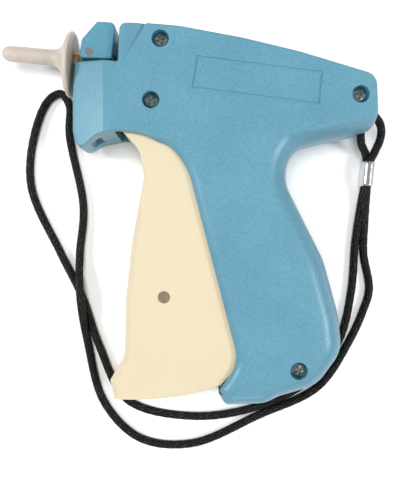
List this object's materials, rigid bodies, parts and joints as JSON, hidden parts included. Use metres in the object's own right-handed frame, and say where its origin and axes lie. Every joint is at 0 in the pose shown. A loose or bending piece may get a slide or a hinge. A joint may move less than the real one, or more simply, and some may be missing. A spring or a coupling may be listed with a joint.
{
  "type": "garment tag-attaching gun",
  "caption": "Hand tool that shoots plastic barb fasteners through price tags, with a hollow needle, needle guard, squeeze trigger and wrist lanyard.",
  "frame": {"origin": "where the trigger's pivot axis meets the right side face that the gun lies on", "axes": "+Z out of the left side face, along the trigger's pivot axis; -X towards the needle's point; -Y down the handle"},
  "size_m": [0.1426, 0.1591, 0.025],
  "materials": {
    "casing_plastic": "fine matte grain",
    "trigger_plastic": "smooth satin",
    "guard_plastic": "smooth satin",
    "inner_plastic": "smooth",
    "steel": "satin",
    "screw_steel": "dark plated",
    "pin_metal": "dull",
    "ferrule_metal": "bright plated",
    "brass": "satin",
    "rubber": "matte",
    "cord_fabric": "woven"
  },
  "bodies": {
    "casing": {"left_casing": "casing_plastic", "right_casing": "casing_plastic", "trigger_pivot_sleeve": "steel", "lever_pin": "steel", "slide_bumper": "rubber", "feed_guide": "inner_plastic", "feed_wheel_pin": "steel", "feed_pawl": "steel", "cutter_blade": "steel", "needle": "steel", "needle_base": "brass", "lock_pins": "pin_metal", "casing_screws": "screw_steel", "lanyard_cord": "cord_fabric", "lanyard_ferrule": "ferrule_metal"},
    "trigger": {"trigger": "trigger_plastic", "trigger_pin": "pin_metal", "return_spring": "steel"},
    "link": {"link": "steel"},
    "drive_lever": {"drive_lever": "steel", "link_pin": "steel"},
    "slide": {"slide_block": "inner_plastic", "slide_pin": "steel", "push_rod": "steel"},
    "feed_wheel": {"feed_wheel": "inner_plastic"},
    "needle_guard": {"needle_guard": "guard_plastic"},
    "needle_lock_cap": {"needle_lock_cap": "casing_plastic"}
  },
  "joints": [
    {"name": "trigger_squeeze", "type": "hinge", "parent": "casing", "child": "trigger", "pos_m": [0, 0, 0.0125], "axis": [0, 0, 1], "range_deg": [0, 12], "stiffness_Nm_per_rad": 2, "springref_deg": -5.73},
    {"name": "link_pivot", "type": "hinge", "parent": "trigger", "child": "link", "pos_m": [0.0044, -0.0693, 0.0125], "axis": [0, 0, 1], "range_deg": [-18, 0]},
    {"name": "lever_swing", "type": "hinge", "parent": "casing", "child": "drive_lever", "pos_m": [0.035, -0.0465, 0.016], "axis": [0, 0, 1], "range_deg": [0, 38.5]},
    {"name": "slide_stroke", "type": "slide", "parent": "casing", "child": "slide", "axis": [-0.9962, 0.0872, 0], "range_m": [0, 0.0401]},
    {"name": "feed_wheel_spin", "type": "hinge", "parent": "casing", "child": "feed_wheel", "pos_m": [-0.0208, 0.0051, 0.0125], "axis": [0, 0, 1], "continuous": true},
    {"name": "guard_pull", "type": "slide", "parent": "casing", "child": "needle_guard", "axis": [-0.9962, 0.0872, 0], "range_m": [0, 0.03]},
    {"name": "lock_flip", "type": "hinge", "parent": "casing", "child": "needle_lock_cap", "pos_m": [-0.0222, 0.0183, 0.0125], "axis": [0, 0, 1], "range_deg": [0, 30]}
  ],
  "couplings": [
    {"joint": "link_pivot", "follows": "trigger_squeeze", "ratio": -1.49},
    {"joint": "lever_swing", "follows": "trigger_squeeze", "ratio": 3.205},
    {"joint": "slide_stroke", "follows": "trigger_squeeze", "m_per_rad": 0.19099}
  ]
}
